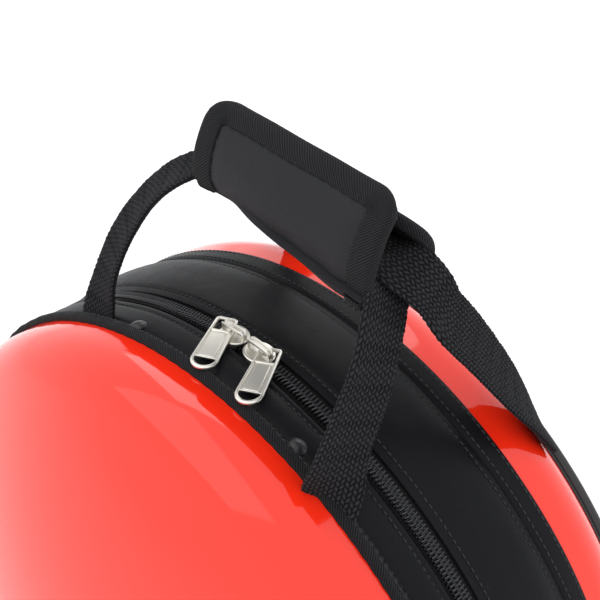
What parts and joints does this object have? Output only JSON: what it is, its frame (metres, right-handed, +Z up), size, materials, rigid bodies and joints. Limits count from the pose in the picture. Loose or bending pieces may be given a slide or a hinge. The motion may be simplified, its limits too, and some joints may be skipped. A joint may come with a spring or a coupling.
{
  "type": "bowling ball bag",
  "caption": "Hard-shell single-ball bowling bag with domed glossy shells, zipped gusset, padded carry handle and flat base on feet.",
  "frame": {"origin": "on the ground under the middle of the bag, at the foot plane", "axes": "+X along the carry handle, the lid shell faces -Y, +Z up"},
  "size_m": [0.3604, 0.2332, 0.4189],
  "materials": {
    "red_shell": "glossy moulded",
    "lining": "plain woven",
    "black_vinyl": "satin coated fabric",
    "base_fabric": "coarse woven",
    "twill_tape": "twill woven",
    "piping": "satin extruded",
    "zip_tape": "woven",
    "zip_coil": "satin",
    "nickel": "plated",
    "board": "matt sheet",
    "foot_plastic": "matt moulded",
    "foam": "closed-cell foam",
    "hook_loop": "hook-and-loop pile",
    "webbing": "coarse woven",
    "black_metal": "satin painted"
  },
  "bodies": {
    "case": {"rear_shell": "red_shell", "rear_shell_lining": "lining", "main_gusset_panel": "black_vinyl", "rear_gusset_strip": "black_vinyl", "gusset_lining": "lining", "rear_zip_tape": "zip_tape", "rear_zip_coil": "zip_coil", "zip_end_stops": "nickel", "hinge_strip_rear": "base_fabric", "base_panel": "base_fabric", "base_board": "board", "base_feet": "foot_plastic", "foot_screws": "nickel", "foot_nuts": "nickel", "ball_cup": "foam", "back_panel": "black_vinyl", "back_panel_piping": "piping", "rear_handle_strap": "webbing"},
    "lid": {"front_shell": "red_shell", "front_shell_lining": "lining", "front_rim_binding": "twill_tape", "front_gusset_strip": "black_vinyl", "front_zip_tape": "zip_tape", "front_zip_coil": "zip_coil", "strip_rivets": "black_metal", "rivet_burrs": "nickel", "hinge_strip_front": "base_fabric", "front_handle_strap": "webbing"},
    "grip": {"grip_wrap_cover": "black_vinyl", "grip_wrap_pad": "foam", "grip_wrap_binding": "twill_tape", "grip_hook_patch": "hook_loop"},
    "grip_flap": {"grip_flap_cover": "black_vinyl", "grip_flap_pad": "foam", "grip_flap_binding": "twill_tape", "grip_loop_patch": "hook_loop"},
    "slider_left": {"zip_slider_left": "nickel"},
    "slider_right": {"zip_slider_right": "nickel"},
    "pull_left": {"zip_pull_left": "nickel"},
    "pull_right": {"zip_pull_right": "nickel"}
  },
  "joints": [
    {"name": "lid_open", "type": "hinge", "parent": "case", "child": "lid", "pos_m": [0, -0.0161, 0.0082], "axis": [1, 0, 0], "range_deg": [0, 90]},
    {"name": "zip_left", "type": "hinge", "parent": "case", "child": "slider_left", "pos_m": [0, -0.0161, 0.144], "axis": [0, 1, 0], "range_deg": [-105, 0]},
    {"name": "zip_right", "type": "hinge", "parent": "case", "child": "slider_right", "pos_m": [0, -0.0161, 0.144], "axis": [0, 1, 0], "range_deg": [0, 105]},
    {"name": "pull_left_swing", "type": "hinge", "parent": "slider_left", "child": "pull_left", "pos_m": [-0.01546, -0.0161, 0.32593], "axis": [-0.0546, 0, 0.9985], "range_deg": [-100, 8]},
    {"name": "pull_right_swing", "type": "hinge", "parent": "slider_right", "child": "pull_right", "pos_m": [0.01075, -0.0161, 0.32627], "axis": [0.0288, 0, 0.9996], "range_deg": [-12, 58]},
    {"name": "grip_drop", "type": "slide", "parent": "case", "child": "grip", "axis": [0, 0, 1], "range_m": [-0.025, 0], "stiffness_N_per_m": 400, "deforming": ["front_handle_strap", "rear_handle_strap"]},
    {"name": "grip_flap_open", "type": "hinge", "parent": "grip", "child": "grip_flap", "pos_m": [0, -0.0171, 0.3821], "axis": [1, 0, 0], "range_deg": [0, 85]}
  ],
  "couplings": [
    {"joint": "zip_left", "follows": "lid_open", "ratio": -1.1666},
    {"joint": "zip_right", "follows": "lid_open", "ratio": 1.1666}
  ]
}
